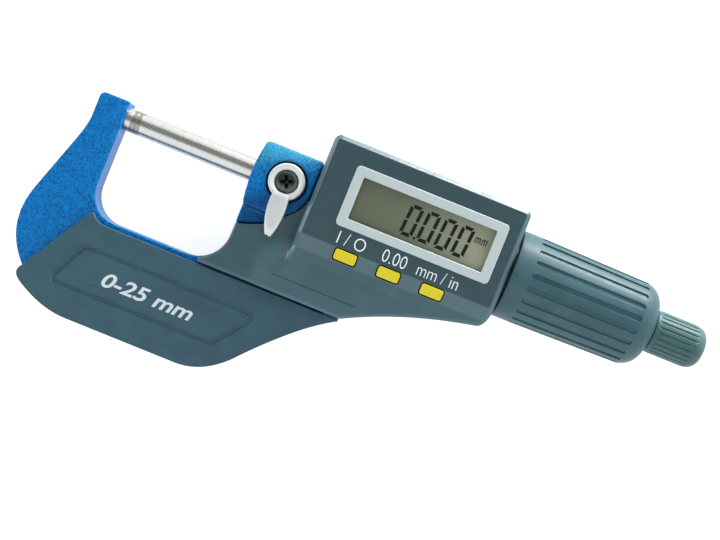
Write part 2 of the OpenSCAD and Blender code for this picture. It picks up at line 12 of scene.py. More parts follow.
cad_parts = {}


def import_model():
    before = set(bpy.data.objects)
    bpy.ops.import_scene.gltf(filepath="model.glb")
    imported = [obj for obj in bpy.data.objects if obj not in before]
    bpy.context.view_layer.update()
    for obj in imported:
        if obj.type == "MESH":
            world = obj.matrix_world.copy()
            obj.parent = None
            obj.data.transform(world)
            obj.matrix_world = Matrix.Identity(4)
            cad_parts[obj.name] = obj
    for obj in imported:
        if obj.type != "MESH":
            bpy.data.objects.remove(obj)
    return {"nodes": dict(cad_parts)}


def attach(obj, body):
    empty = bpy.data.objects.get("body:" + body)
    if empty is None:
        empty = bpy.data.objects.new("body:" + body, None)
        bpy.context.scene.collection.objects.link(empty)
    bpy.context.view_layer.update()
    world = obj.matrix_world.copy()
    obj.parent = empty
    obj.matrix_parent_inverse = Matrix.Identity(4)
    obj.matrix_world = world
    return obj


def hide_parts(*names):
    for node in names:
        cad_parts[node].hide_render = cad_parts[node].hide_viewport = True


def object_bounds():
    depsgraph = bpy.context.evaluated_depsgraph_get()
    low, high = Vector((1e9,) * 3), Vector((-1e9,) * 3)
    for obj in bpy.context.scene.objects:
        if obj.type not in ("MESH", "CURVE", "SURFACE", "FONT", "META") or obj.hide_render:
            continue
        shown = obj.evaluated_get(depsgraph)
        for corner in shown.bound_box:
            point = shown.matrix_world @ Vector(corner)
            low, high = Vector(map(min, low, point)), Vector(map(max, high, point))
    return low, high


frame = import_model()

cad_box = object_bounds()
MM = 0.001
MERGE_GAP = 0.0002          # points closer than this are one
NODES = frame["nodes"]
LOCK_AT = (44.9, 0.0)       # the lock's axis


# ---- Plane curves ----

def curve(a, c, b, n=8):
    """Points of a quadratic curve from a to b, pulled towards c."""
    a, c, b = (np.array(p, float) for p in (a, c, b))
    return [tuple(a * (1 - t) ** 2 + c * 2 * t * (1 - t) + b * t * t) for t in np.linspace(0, 1, n + 1)]


def arc(centre, r, start, end, n=8):
    """Points of an arc, with its angles in degrees."""
    return [(centre[0] + r * math.cos(math.radians(a)), centre[1] + r * math.sin(math.radians(a)))
            for a in np.linspace(start, end, n + 1)]


def rounded_box(centre, w, h, r, n=6):
    x, y = w / 2 - r, h / 2 - r
    corners = ((x, y, 0), (-x, y, 90), (-x, -y, 180), (x, -y, 270))
    return [p for cx, cy, a in corners
            for p in arc((centre[0] + cx, centre[1] + cy), r, a, a + 90, n)]


def distance_to(outline, x, y):
    """Signed distance from points to a closed outline, positive inside."""
    pts = np.array(outline)
    nxt = np.roll(pts, -1, 0)
    best = np.full(x.shape, 1e9)
    inside = np.zeros(x.shape, bool)
    for (ax, ay), (bx, by) in zip(pts, nxt):
        dx, dy = bx - ax, by - ay
        length = dx * dx + dy * dy
        if length < 1e-12:
            continue
        t = np.clip(((x - ax) * dx + (y - ay) * dy) / length, 0, 1)
        best = np.minimum(best, np.hypot(x - ax - t * dx, y - ay - t * dy))
        if ay != by:
            inside ^= ((ay > y) != (by > y)) & (x < (bx - ax) * (y - ay) / (by - ay) + ax)
    return np.where(inside, best, -best)


def inset(outline, w):
    """The outline moved inwards by w, corner by corner."""
    pts = np.array(outline)
    area = np.sum(pts[:, 0] * np.roll(pts[:, 1], -1) - np.roll(pts[:, 0], -1) * pts[:, 1])
    before, after = pts - np.roll(pts, 1, 0), np.roll(pts, -1, 0) - pts
    before /= np.linalg.norm(before, axis=1)[:, None]
    after /= np.linalg.norm(after, axis=1)[:, None]
    turn = np.sign(area)
    n1 = np.stack([-before[:, 1], before[:, 0]], 1) * turn
    n2 = np.stack([-after[:, 1], after[:, 0]], 1) * turn
    mid = n1 + n2
    mid /= np.maximum(np.sum(mid * n1, axis=1), 0.5)[:, None]
    return [tuple(p) for p in pts + mid * w]


def smoothstep(low, high, x):
    t = np.clip((x - low) / (high - low), 0, 1)
    return t * t * (3 - 2 * t)


def soft_max(a, b, k):
    """The larger of a and b, rounded off over about k."""
    return (a + b + np.sqrt((a - b) ** 2 + k * k)) / 2


# ---- Meshes ----

def new_object(name, points, faces):
    mesh = bpy.data.meshes.new(name)
    mesh.from_pydata([tuple(float(c) * MM for c in p) for p in points], [], faces)
    obj = bpy.data.objects.new(name, mesh)
    bpy.context.collection.objects.link(obj)
    clean(obj)
    return obj


def clean(obj, flat_angle=None):
    """Merges points that meet, makes flat faces whole if asked, and points every face outwards."""
    bm = bmesh.new()
    bm.from_mesh(obj.data)
    bmesh.ops.remove_doubles(bm, verts=bm.verts, dist=MERGE_GAP * MM)
    if flat_angle is not None:
        bmesh.ops.dissolve_limit(bm, angle_limit=math.radians(flat_angle), verts=bm.verts, edges=bm.edges)
    bmesh.ops.recalc_face_normals(bm, faces=bm.faces)
    bm.to_mesh(obj.data)
    bm.free()


def skin(n, rows):
    """The faces between rows of n points, where each row is a closed ring."""
    return [(k * n + i, k * n + (i + 1) % n, (k + 1) * n + (i + 1) % n, (k + 1) * n + i)
            for k in range(rows - 1) for i in range(n)]


def prism(outline, z0, z1, name="cutter"):
    n = len(outline)
    points = [(x, y, z) for z in (z0, z1) for x, y in outline]
    faces = [tuple(range(n - 1, -1, -1)), tuple(range(n, 2 * n))]
    return new_object(name, points, faces + skin(n, 2))


def block(low, high):
    (x0, y0, z0), (x1, y1, z1) = low, high
    return prism([(x0, y0), (x1, y0), (x1, y1), (x0, y1)], z0, z1)


def disc(at, r, z0, z1, n=64):
    return prism(arc(at, r, 0, 360 - 360 / n, n - 1), z0, z1)


def bar(x0, x1, r, n=96):
    """A round bar along the spindle axis."""
    ring = arc((0, 0), r, 0, 360 - 360 / n, n - 1)
    points = [(x, a, b) for x in (x0, x1) for a, b in ring]
    faces = [tuple(range(n)), tuple(range(n, 2 * n))]
    return new_object("cutter", points, faces + skin(n, 2))


def lathe(name, profile, at, n=96):
    """A profile of (radius, z) turned about a vertical axis. An end on the axis closes to a point."""
    points = [(at[0] + r * math.cos(a), at[1] + r * math.sin(a), z)
              for r, z in profile for a in np.arange(n) * 2 * math.pi / n]
    return new_object(name, points, skin(n, len(profile)))


def fluted(name, stations, angles, depth):
    """A turned skin about the spindle axis, from stations of (x, radius, carved).

    Where carved, depth(x, radius, angles) is taken off. The two open ends are closed with flat faces, or with
    each other where they meet.
    """
    n = len(angles)
    points = []
    for x, r, carved in stations:
        radius = r - (depth(x, r, angles) if carved else np.zeros(n))
        points += [(x, q * math.cos(a), q * math.sin(a)) for q, a in zip(radius, angles)]
    count = len(stations)
    closed = stations[0][:2] == stations[-1][:2]
    faces = skin(n, count)
    if not closed:
        faces += [tuple(range(n)), tuple(range((count - 1) * n, count * n))]
    return new_object(name, points, faces)


def relief(name, xs, ys, top, floor):
    """A block over a grid, with its upper face at top[i, j] and its lower one at floor."""
    nx, ny = len(xs), len(ys)
    points = [(x, y, top[i, j]) for i, x in enumerate(xs) for j, y in enumerate(ys)]
    points += [(x, y, floor) for x in xs for y in ys]
    lower = nx * ny
    faces = []
    for i in range(nx - 1):
        for j in range(ny - 1):
            a, b, c, d = i * ny + j, (i + 1) * ny + j, (i + 1) * ny + j + 1, i * ny + j + 1
            faces += [(a, b, c, d), (lower + a, lower + d, lower + c, lower + b)]
    rim = [i * ny for i in range(nx)] + [(nx - 1) * ny + j for j in range(1, ny)]
    rim += [i * ny + ny - 1 for i in range(nx - 2, -1, -1)] + [j for j in range(ny - 2, 0, -1)]
    faces += [(a, lower + a, lower + b, b) for a, b in zip(rim, rim[1:] + rim[:1])]
    return new_object(name, points, faces)


def bake(obj):
    """Applies the modifiers."""
    evaluated = obj.evaluated_get(bpy.context.evaluated_depsgraph_get())
    mesh = bpy.data.meshes.new_from_object(evaluated)
    obj.modifiers.clear()
    old, obj.data = obj.data, mesh
    mesh.name = obj.name
    bpy.data.meshes.remove(old)


def combine(obj, *others, operation="DIFFERENCE"):
    """Cuts the others out of obj, or joins them to it, or keeps what they share."""
    for other in others:
        modifier = obj.modifiers.new("combine", "BOOLEAN")
        modifier.operation, modifier.solver, modifier.object = operation, "MANIFOLD", other
        bake(obj)
        bpy.data.objects.remove(other)
    return obj


def soften(obj, width, segments=2, angle=30):
    """Rounds the sharp edges."""
    modifier = obj.modifiers.new("soften", "BEVEL")
    modifier.width, modifier.segments = width * MM, segments
    modifier.limit_method, modifier.angle_limit = "ANGLE", math.radians(angle)
    modifier.miter_outer = "MITER_ARC"
    modifier.use_clamp_overlap = True
    bake(obj)
    return obj


def place(obj, body, look, slot, *hidden, sharp=32, flat_faced=True):
    """Smooths the shading, gives the piece its material and its body, and hides the CAD nodes it stands for.

    On a flat-faced piece the large faces keep their own direction, so only the rounded edges are smoothed.
    """
    obj.data.shade_smooth()
    obj.data.set_sharp_from_angle(angle=math.radians(sharp))
    if flat_faced:
        modifier = obj.modifiers.new("weigh", "WEIGHTED_NORMAL")
        modifier.keep_sharp, modifier.weight = True, 70
        bake(obj)
    obj.data.materials.clear()
    obj.data.materials.append(look)
    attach(obj, body)
    if hidden:
        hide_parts(*hidden)
    return obj


def copy_of(node, name, flat_angle=0.3):
    """A free copy of a CAD node's mesh, with its flat faces whole again."""
    obj = bpy.data.objects.new(name, NODES[node].data.copy())
    bpy.context.collection.objects.link(obj)
    clean(obj, flat_angle)
    return obj


# ---- Materials ----

class Look:
    """A Principled material whose textures are laid out in millimetres in the object's own space."""

    def __init__(self, name, colour, roughness, metallic=0.0, **sockets):
        self.material = bpy.data.materials.new(name)
        self.material.use_nodes = True
        self.tree = self.material.node_tree
        self.shader = self.tree.nodes["Principled BSDF"]
        self.put(self.shader, Base_Color=(*colour, 1), Roughness=roughness, Metallic=metallic, **sockets)
        coordinates = self.tree.nodes.new("ShaderNodeTexCoord")
        self.space = self.node("VectorMath", operation="SCALE", Vector=coordinates.outputs["Object"],
                               Scale=1 / MM).outputs[0]

    def put(self, node, **values):
        for key, value in values.items():
            socket = node.inputs[int(key[1:]) if key[1:].isdigit() else key.replace("_", " ")]
            if isinstance(value, bpy.types.NodeSocket):
                self.tree.links.new(value, socket)
            else:
                socket.default_value = value

    def node(self, kind, **values):
        """A new node. A value is one of its settings where it has one of that name, and else an input."""
        node = self.tree.nodes.new("ShaderNode" + kind)
        for key in [k for k in values if hasattr(node, k)]:
            setattr(node, key, values.pop(key))
        self.put(node, **values)
        return node

    def stretched(self, scale):
        return self.node("Mapping", Vector=self.space, Scale=scale).outputs[0]

    def noise(self, size, detail=3.0, roughness=0.55, stretch=(1, 1, 1)):
        """Noise with features of this size, in millimetres."""
        space = self.space if stretch == (1, 1, 1) else self.stretched(stretch)
        return self.node("TexNoise", Vector=space, Scale=1 / size, Detail=detail,
                         Roughness=roughness).outputs["Fac"]

    def calc(self, operation, a, b=0.0, c=0.0):
        return self.node("Math", operation=operation, i0=a, i1=b, i2=c).outputs[0]

    def map(self, value, low, high, to_low=0.0, to_high=1.0):
        node = self.node("MapRange", Value=value, From_Min=low, From_Max=high, To_Min=to_low, To_Max=to_high)
        node.interpolation_type = "SMOOTHSTEP"
        return node.outputs[0]

    def blend(self, factor, a, b):
        """A colour between a and b."""
        node = self.node("Mix", data_type="RGBA")
        for index, value in ((0, factor), (6, a), (7, b)):
            socket = node.inputs[index]
            if isinstance(value, bpy.types.NodeSocket):
                self.tree.links.new(value, socket)
            else:
                socket.default_value = value if index == 0 else (*value, 1)
        return node.outputs[2]

    def finish(self, colour=None, roughness=None, height=None, relief_mm=0.01):
        if colour is not None:
            self.put(self.shader, Base_Color=colour)
        if roughness is not None:
            self.put(self.shader, Roughness=roughness)
        if height is not None:
            bump = self.node("Bump", Strength=1.0, Distance=relief_mm * MM, Height=height)
            self.put(self.shader, Normal=bump.outputs[0])
        return self.material


def srgb(r, g, b):
    """A display colour as linear light."""
    parts = (r / 255, g / 255, b / 255)
    return tuple(c / 12.92 if c <= 0.04045 else ((c + 0.055) / 1.055) ** 2.4 for c in parts)


def scaled(colour, factor):
    """A lighter or darker colour, up to white."""
    return tuple(min(1, c * factor) for c in colour)


def hammertone():
    """Blue hammered paint: small bright cells between broken dark veins, with metal flake.

    On the front of the hub it is painted paler towards the top and darker below, as painted highlight and
    painted shade. The recess round the lever's ring is painted nearly black, as painted shadow.
    """
    look = Look("hammertone_blue", srgb(0, 100, 175), 0.36, 0.3, Specular_IOR_Level=0.1, Coat_Weight=0.2,
                Coat_Roughness=0.25)
    warp = look.node("TexNoise", Vector=look.space, Scale=1.9, Detail=3.0).outputs["Color"]
    bent = look.node("VectorMath", operation="MULTIPLY_ADD", i0=warp, i1=(1.1, 1.1, 1.1), i2=look.space)
    cells = look.node("TexVoronoi", feature="DISTANCE_TO_EDGE", Vector=bent.outputs[0], Scale=1 / 0.95)
    broken = look.map(look.noise(0.9, 2.0), 0.4, 0.7, 0.0, 0.13)
    vein = look.map(look.calc("ADD", cells.outputs["Distance"], broken), 0.03, 0.22)
    patch = look.noise(1.6, 2.0)
    flake = look.noise(0.25, 2.0, 0.7)
    body = look.blend(vein, srgb(0, 73, 130), srgb(0, 112, 187))
    body = look.blend(look.map(patch, 0.45, 0.7, 0.0, 0.3), body, srgb(0, 138, 206))
    body = look.blend(look.map(flake, 0.56, 0.8, 0.0, 0.5), body, srgb(8, 166, 222))

    parts = look.node("SeparateXYZ", Vector=look.space)
    x, y, z = parts.outputs[0], parts.outputs[1], parts.outputs[2]
    front = look.map(z, 5.6, 6.6)
    on_hub = look.calc("MULTIPLY", look.map(x, 33.5, 36.5), front)
    up = look.calc("SUBTRACT", y, look.calc("MULTIPLY", x, 0.35))
    # Painted highlight on the upper front of the hub and painted shade on its lower front, where light falls
    # on the crown and leaves the underside.
    painted_hub_light = look.calc("MULTIPLY", on_hub, look.map(up, -14.0, -7.0, 0.0, 0.42))
    dark = look.calc("MULTIPLY", on_hub, look.map(up, -16.5, -22.0, 0.0, 0.6))
    body = look.blend(painted_hub_light, body, srgb(69, 152, 158))
    body = look.blend(dark, body, srgb(0, 52, 100))
    # Painted shadow: the recess round the lever's ring is painted nearly black, where shade falls in the gap.
    from_lock = look.node("VectorMath", operation="SUBTRACT", i0=look.space, i1=(*LOCK_AT, 0))
    flat = look.node("VectorMath", operation="MULTIPLY", i0=from_lock.outputs[0], i1=(1, 1, 0))
    radius = look.node("VectorMath", operation="LENGTH", i0=flat.outputs[0]).outputs["Value"]
    painted_seat_shadow = look.calc("MULTIPLY", look.map(radius, 5.95, 5.55), front)
    body = look.blend(painted_seat_shadow, body, (0.003, 0.008, 0.02))
    height = look.calc("ADD", look.calc("MULTIPLY", vein, 0.8), look.calc("MULTIPLY", flake, 0.35))
    return look.finish(body, look.map(patch, 0.3, 0.7, 0.3, 0.42), height, 0.09)


def moulded(name, colour, roughness, grain=0.012, face=None, **sockets):
    """Spark-eroded moulded plastic, a little cloudy, with a fine grain.

    If a face height is given, it is painted darker from there up, as painted shade on the flat face, and a
    little darker down by the parting plane, below the collar's height, as painted shade on the low collar.
    """
    look = Look(name, colour, roughness, **sockets)
    cloud = look.noise(7.0, 3.0)
    fine = look.noise(0.16, 2.0, 0.6)
    dust = look.map(look.noise(0.7, 0.0), 0.8, 0.86, 0.0, 0.5)
    shade = look.blend(look.map(cloud, 0.35, 0.65), scaled(colour, 0.93), scaled(colour, 1.07))
    shade = look.blend(dust, shade, tuple(min(1, c * 1.8 + 0.03) for c in colour))
    if face is not None:
        height = look.node("SeparateXYZ", Vector=look.space).outputs[2]
        # Painted shade: a little darker below 9.6 mm, where the collar sits low beside the tall housing.
        shade = look.blend(look.map(height, 8.3, 9.6), scaled(colour, 0.8), shade)
        # Painted shade: darker from the face height up, standing for the dark reflection on the flat face.
        shade = look.blend(look.map(height, face - 0.05, face), shade, scaled(colour, 0.58))
    rough = look.map(look.noise(3.0, 4.0), 0.3, 0.7, roughness - 0.04, roughness + 0.05)
    return look.finish(shade, rough, fine, grain)


def turned_metal(name, colour, roughness, pitch=0.09, axis=0, relief_mm=0.004, metallic=1.0, **sockets):
    """Ground or turned metal, with fine rings about its axis and faint stains."""
    look = Look(name, colour, roughness, metallic, **sockets)
    stretch = [0.03, 0.03, 0.03]
    stretch[axis] = 1
    rings = look.noise(pitch, 4.0, 0.7, tuple(stretch))
    stain = look.noise(4.0, 3.0)
    shade = look.blend(look.map(rings, 0.3, 0.7), scaled(colour, 0.9), scaled(colour, 1.06))
    warm = tuple(c * k for c, k in zip(colour, (0.8, 0.78, 0.72)))
    shade = look.blend(look.map(stain, 0.5, 0.8, 0.0, 0.35), shade, warm)
    return look.finish(shade, look.map(rings, 0.3, 0.7, roughness - 0.05, roughness + 0.07), rings, relief_mm)


def plain(name, colour, roughness, size=1.2, vary=0.12, relief_mm=0.006, metallic=0.0, **sockets):
    """A small part's finish: one colour, mottled, over a fine uneven surface."""
    look = Look(name, colour, roughness, metallic, **sockets)
    cloud, fine = look.noise(size, 4.0), look.noise(size / 6, 2.0)
    shade = look.blend(cloud, scaled(colour, 1 - vary), scaled(colour, 1 + vary))
    return look.finish(shade, look.map(cloud, 0.3, 0.7, roughness * 0.9, roughness * 1.15), fine, relief_mm)


LOOKS = {
    "blue_cast": hammertone(),
    "grey_plastic": moulded("housing_plastic", srgb(51, 84, 94), 0.36, face=12.95, Specular_IOR_Level=0.6),
    "ground_steel": turned_metal("ground_steel", (0.52, 0.53, 0.51), 0.24),
    "carbide": turned_metal("lapped_carbide", (0.3, 0.29, 0.26), 0.3, pitch=0.15),
    "silver_plastic": plain("bezel_silver", srgb(170, 184, 187), 0.35, size=0.8, vary=0.04, Coat_Weight=0.3),
    "lever_metal": plain("satin_lever", (0.56, 0.6, 0.61), 0.42, size=3.0, vary=0.05, relief_mm=0.0008,
                         metallic=0.35),
    "black_steel": plain("black_oxide", (0.075, 0.085, 0.082), 0.16, size=0.7, vary=0.4, metallic=0.95),
    "zinc_steel": turned_metal("zinc_plate", (0.55, 0.56, 0.57), 0.32, axis=2),
    "bronze": turned_metal("machined_bronze", (0.55, 0.38, 0.16), 0.3),
    "spring_steel": turned_metal("drawn_wire", (0.5, 0.5, 0.5), 0.28),
    "board_green": plain("solder_mask", (0.02, 0.16, 0.06), 0.3, size=2.0),
    "black_resin": plain("chip_resin", (0.02, 0.02, 0.022), 0.6, size=0.4),
    "white_plastic": moulded("white_holder", (0.75, 0.75, 0.72), 0.5),
    "conductive_rubber": plain("contact_rubber", (0.62, 0.3, 0.32), 0.6, size=0.5),
    "film_brown": plain("cable_film", (0.36, 0.16, 0.05), 0.35, size=2.0),
    "gold_contact": turned_metal("gold_plate", (0.8, 0.6, 0.25), 0.3),
    "cell_steel": turned_metal("cell_can", (0.6, 0.6, 0.6), 0.25, axis=2),
    "seal_rubber": plain("seal_rubber", (0.015, 0.015, 0.015), 0.6, size=0.6),
    "aluminium_tube": turned_metal("satin_tube", (0.72, 0.73, 0.73), 0.3),
}


def lcd_look():
    """The reflective glass of the display, with painted light: dull on the left and paler towards the lower
    right.
    """
    look = Look("lcd_glass", srgb(100, 106, 88), 0.35)
    parts = look.node("SeparateXYZ", Vector=look.space)
    x, y = parts.outputs[0], parts.outputs[1]
    # Painted light: paler from left to right, and paler still at the lower right corner.
    across = look.map(x, 72.0, 102.0)
    corner = look.calc("MULTIPLY", look.map(x, 92.0, 101.0), look.map(y, 4.5, 0.5))
    shade = look.blend(across, srgb(103, 110, 91), srgb(146, 152, 129))
    shade = look.blend(look.calc("MULTIPLY", corner, 0.8), shade, srgb(160, 166, 142))
    speck = look.map(look.noise(0.5, 0.0), 0.83, 0.88, 0.0, 0.35)
    shade = look.blend(speck, shade, srgb(190, 190, 170))
    return look.finish(shade, None, look.noise(0.12), 0.002)


def clear_look():
    """A thin clear window, seen through."""
    look = Look("clear_window", (0.03, 0.035, 0.03), 0.06, Alpha=0.04, IOR=1.5)
    return look.finish(height=look.noise(9.0, 1.0), relief_mm=0.02)


def key_look():
    """Yellow rubber, painted near black below the cover's face as painted shadow in the key pockets."""
    look = Look("key_yellow", srgb(199, 187, 2), 0.4, Specular_IOR_Level=0.35)
    height = look.node("SeparateXYZ", Vector=look.space).outputs[2]
    key_top_colour = look.blend(look.noise(1.5, 4.0), srgb(195, 182, 2), srgb(204, 192, 3))
    # Painted shadow: below the cover's face the key is painted near black, where its skirt sits in shade in
    # the pocket.
    shade = look.blend(look.map(height, 10.95, 11.1), (0.012, 0.012, 0.01), key_top_colour)
    return look.finish(shade, height=look.noise(0.25, 2.0), relief_mm=0.006)


LOOKS["yellow_rubber"] = key_look()
LOOKS["lcd"] = lcd_look()
LOOKS["clear"] = clear_look()
THIMBLE_PLASTIC = moulded("thimble_plastic", srgb(53, 84, 93), 0.42, Specular_IOR_Level=0.22)
KNOB_PLASTIC = moulded("knob_plastic", srgb(61, 92, 95), 0.42, Specular_IOR_Level=0.2)
GRIP_PLASTIC = moulded("grip_plastic", srgb(47, 79, 92), 0.42, Specular_IOR_Level=0.35)
# Painted shadow: the barrel's tube is made near black, for the shade in the gap between the housing and the
# thimble.
TUBE_PAINTED_SHADOW = turned_metal("tube_painted_shadow", (0.02, 0.02, 0.022), 0.45, metallic=0.2)
GRIP_INK = plain("faded_ink", srgb(188, 201, 207), 0.5, size=0.6, vary=0.06)
INK = plain("printed_ink", srgb(214, 226, 230), 0.5, size=0.6, vary=0.06)
SEGMENT = plain("lcd_segment", (0.006, 0.009, 0.01), 0.6, size=0.7, vary=0.2, Specular_IOR_Level=0.15)

# Every CAD node takes the look of its slot, and the nodes with a piece of their own below are then hidden.
SLOT_OF = {name: node.material_slots[0].material.name.split(".")[0] for name, node in NODES.items()}
for name, node in NODES.items():
    for holder in node.material_slots:
        holder.material = LOOKS[SLOT_OF[name]]
    node.data.shade_smooth()
    node.data.set_sharp_from_angle(angle=math.radians(32))


# ---- The cast frame ----

HUB_CENTRE, HUB_R = (43.0, -0.6), 9.2
HUB_X = (34.0, 53.0)
CROWN, CROWN_FROM_Z = 1.5, 5.0      # how far the hub's faces fall away at the top, from this far out
SPINDLE_R = 3.25


def cast_frame():
    """The casting: the CAD solid with rounded edges, the lock hub crowned at its top, and the bores cut."""
    obj = copy_of("frame", "cast_frame")
    modifier = obj.modifiers.new("cast", "REMESH")
    modifier.mode, modifier.voxel_size = "VOXEL", 0.34 * MM
    bake(obj)
    modifier = obj.modifiers.new("ease", "SMOOTH")
    modifier.factor, modifier.iterations = 0.5, 9
    bake(obj)
    points = np.zeros(len(obj.data.vertices) * 3)
    obj.data.vertices.foreach_get("co", points)
    points = points.reshape(-1, 3) / MM
    x, y, z = points.T
    on_hub = (np.abs(z) > CROWN_FROM_Z) & (x > HUB_X[0]) & (x < HUB_X[1])
    crown = np.where(on_hub, CROWN * np.clip((y - 2.8) / 6, 0, 1) ** 2, 0)
    points[:, 2] -= np.sign(z) * crown * np.clip((np.abs(z) - CROWN_FROM_Z) / 3, 0, 1)
    obj.data.vertices.foreach_set("co", (points * MM).ravel())
    obj.data.update()
    lever_seat = disc(LOCK_AT, 5.6, 7.0, 10)
    return combine(obj, bar(30, 60, SPINDLE_R + 0.12), bar(38.2, 60, 4.22), lever_seat)


place(cast_frame(), "frame", LOOKS["blue_cast"], "blue_cast", "frame", sharp=50, flat_faced=False)


# ---- The housing ----

WALL = 1.5
THROUGH = (-20.0, 20.0)     # past every face, both ways
FACE_Z, COLLAR_Z, BODY_Z = 13.0, 8.5, 10.4
HOUSING_X = (52.7, 109.1)
HOUSING_Y = (-28.8, 17.04)
RAMP_Y = (-11.14, -15.0)
RAMP_Z = 11.0
THROAT = (26.3, -18.65)
KEY_X = [67.14 + 12.4 * i for i in range(3)]
KEY_Y = -12.96
KEY_POCKET, KEY_CORNER = (6.8, 3.6), 0.85
BEZEL_AT, BEZEL_SIZE = (83.065, 2.81), (43.85, 17.12)
CELL_AT = (88.0, 1.0)
ARM_Z = 4.5                 # half the thickness of the casting's arm
COVER_SCREWS = ((56, 13.7), (105.8, 14.4), (104.6, -13.2), (40.5, -24.5), (66, -24.5))
POST_FOOT = (0, 0, 0, ARM_Z, ARM_Z)
GRIP_SCREWS = ((4, -42.5), (38, -42.5))

(LEFT, RIGHT), (BOTTOM, TOP) = HOUSING_X, HOUSING_Y
HOUSING = (
    arc((LEFT + 1.8, TOP - 1.8), 1.8, 180, 90, 8) + arc((RIGHT - 1.8, TOP - 1.8), 1.8, 90, 0, 8)
    + curve((RIGHT, -12.6), (108.6, -16.3), (106.4, -16.9), 10)
    + curve((106.4, -16.9), (87.15, -20.77), (72, BOTTOM), 20)[1:]
    + [(30.4, BOTTOM)] + arc(THROAT, 9.8, -66, 0, 20)
    + [(36.1, -9), (48, -9), (51, -2.6), (LEFT, -2.6)]
)


def front_height(x, y):
    """How high the front cover stands, before its rim is bevelled."""
    plateau = np.interp(y, (BOTTOM, -18, RAMP_Y[1], RAMP_Y[0]), (BODY_Z, 10.75, RAMP_Z, FACE_Z))
    rise = np.clip((x - 51.9) / 0.8, 0, 1)
    cliff = rise * (plateau - COLLAR_Z - soft_max(0 * x, 1.15 - (x - LEFT), 0.12))
    slope = smoothstep(42.5, 51.5, x) * (plateau - COLLAR_Z)
    steep = smoothstep(-23.0, -12.8, y)
    gully = 0.7 * smoothstep(46.0, 50.6, x) * (1 - rise) * smoothstep(-20.5, -10, y)
    groove = (np.abs(y + 24.3) < 0.16) & (x > 50.5) & (x < 75)
    return COLLAR_Z + steep * cliff + (1 - steep) * slope - gully - 0.22 * groove


def rear_height(x, y):
    """How far the rear cover stands out behind: thin beside the throat, and then up to its full depth."""
    ramp = smoothstep(31.5, 37.5, x)
    return COLLAR_Z + ramp * (FACE_Z - COLLAR_Z)


def rim_width(x, y):
    """The rim's bevel: wide round the display, narrow round the lower body and the throat."""
    return 0.45 + 0.7 * smoothstep(-17.0, -12.5, y) * (x > 51)


def grid_lines(low, high, step, *features):
    """Even lines from low to high, with a close pair at each feature in place of the lines beside it."""
    lines = [v for v in np.arange(low, high + step, step) if all(abs(v - f) > step * 0.6 for f in features)]
    return np.array(sorted(lines + [f + d for f in features for d in (-0.03, 0.03)]))


# Where the bevel's inner edge, the cliff, the ramp and the groove need close grid lines.
EDGES_X = (LEFT, 53.71, 53.85, 53.99, 51.9, 107.81, 107.95, 108.09)
EDGES_Y = (*RAMP_Y, -24.46, -24.14, 15.75, 15.89, 16.03)


def cover_form(height, w, step, features=True):
    """Half of the housing as a solid standing on z = 0, shrunk by w all round."""
    xs = grid_lines(26, 112, step, *(EDGES_X if features else ()))
    ys = grid_lines(-31, 19, step, *(EDGES_Y if features else ()))
    x, y = np.meshgrid(xs, ys, indexing="ij")
    z = height(x, y)
    if features:
        width = rim_width(x, y)
        z = z - soft_max(0 * x, width - distance_to(HOUSING, x, y), 0.14)
    outline = inset(HOUSING, w) if w else HOUSING
    solid = relief("form", xs, ys, np.maximum(z - w, 0.5), -1 if w else 0)
    return combine(solid, prism(outline, -0.5 if w else -0.001, 30), operation="INTERSECT")


def frame_room(side):
    """What the casting, the spindle and the barrel need clear inside a cover."""
    arm = [(20, -40), (68.45, -40), (68.65, -27.3), (64.3, -16.9), (52.1, -9.35), (30, -9.35)]
    below_hub = [(30, -9.3), (36, -9.3)] + curve((36.0, -15.35), (40.7, -14.4), (46.6, -11.1), 8)
    below_hub += [(47.6, -9.3), (47.6, 0), (30, 0)]
    room = [
        prism(arm, -ARM_Z - 0.15, ARM_Z + 0.15),
        disc(HUB_CENTRE, HUB_R + 0.22, *THROUGH, 160),
        prism(below_hub, *THROUGH),
        bar(50, 58, 5.85),                                  # the boss behind the hub
        bar(RIGHT - 3, RIGHT + 2, 9.75),                    # the barrel
        bar(RIGHT - 3, RIGHT - 0.6, 10.3),                  # the barrel's seal
        block((47.7, -14.3, -5.3), (101.3, -7.3, 1.3)),     # the casting's rail
    ]
    if side < 0:
        for piece in room:
            mirror(piece)
    return room


def mirror(obj):
    """Turns a piece over to the other side of the parting plane."""
    obj.data.transform(Matrix.Scale(-1, 4, (0, 0, 1)))
    obj.data.flip_normals()
    return obj


def front_cover():
    obj = combine(cover_form(front_height, 0, 0.33), cover_form(front_height, WALL, 1.1, False))
    screw_posts = (12, 12, 10, 7.5, 9.3)
    for at, foot, top in zip(COVER_SCREWS, POST_FOOT, screw_posts):
        combine(obj, disc(at, 2, foot, top, 32), operation="UNION")
    board_posts = (((57.2, 6), 12), ((57.2, -7), 12), ((99.5, -12.4), 11))
    for at, top in board_posts:
        combine(obj, disc(at, 1.5, 7.6, top, 24), operation="UNION")
    combine(obj, *frame_room(1))
    combine(obj, prism(rounded_box(BEZEL_AT, *BEZEL_SIZE, 1.3), 10, 20))
    combine(obj, *[prism(rounded_box((x, KEY_Y), *KEY_POCKET, KEY_CORNER), 5, THROUGH[1]) for x in KEY_X])
    return obj


def rear_cover():
    obj = combine(cover_form(rear_height, 0, 0.33), cover_form(rear_height, WALL, 1.1, False))
    for at, foot in zip(COVER_SCREWS, POST_FOOT):
        combine(obj, disc(at, 2.55, foot, 12.5, 40), operation="UNION")
    combine(obj, disc(CELL_AT, 8.6, 5.9, 12.5, 96), operation="UNION")
    for at in COVER_SCREWS:
        combine(obj, disc(at, 1.1, -1, 20, 32), disc(at, 2.1, 11.8, 20, 40))
    combine(obj, disc(CELL_AT, 7.55, -1, 20, 128), *frame_room(-1))
    return mirror(obj)


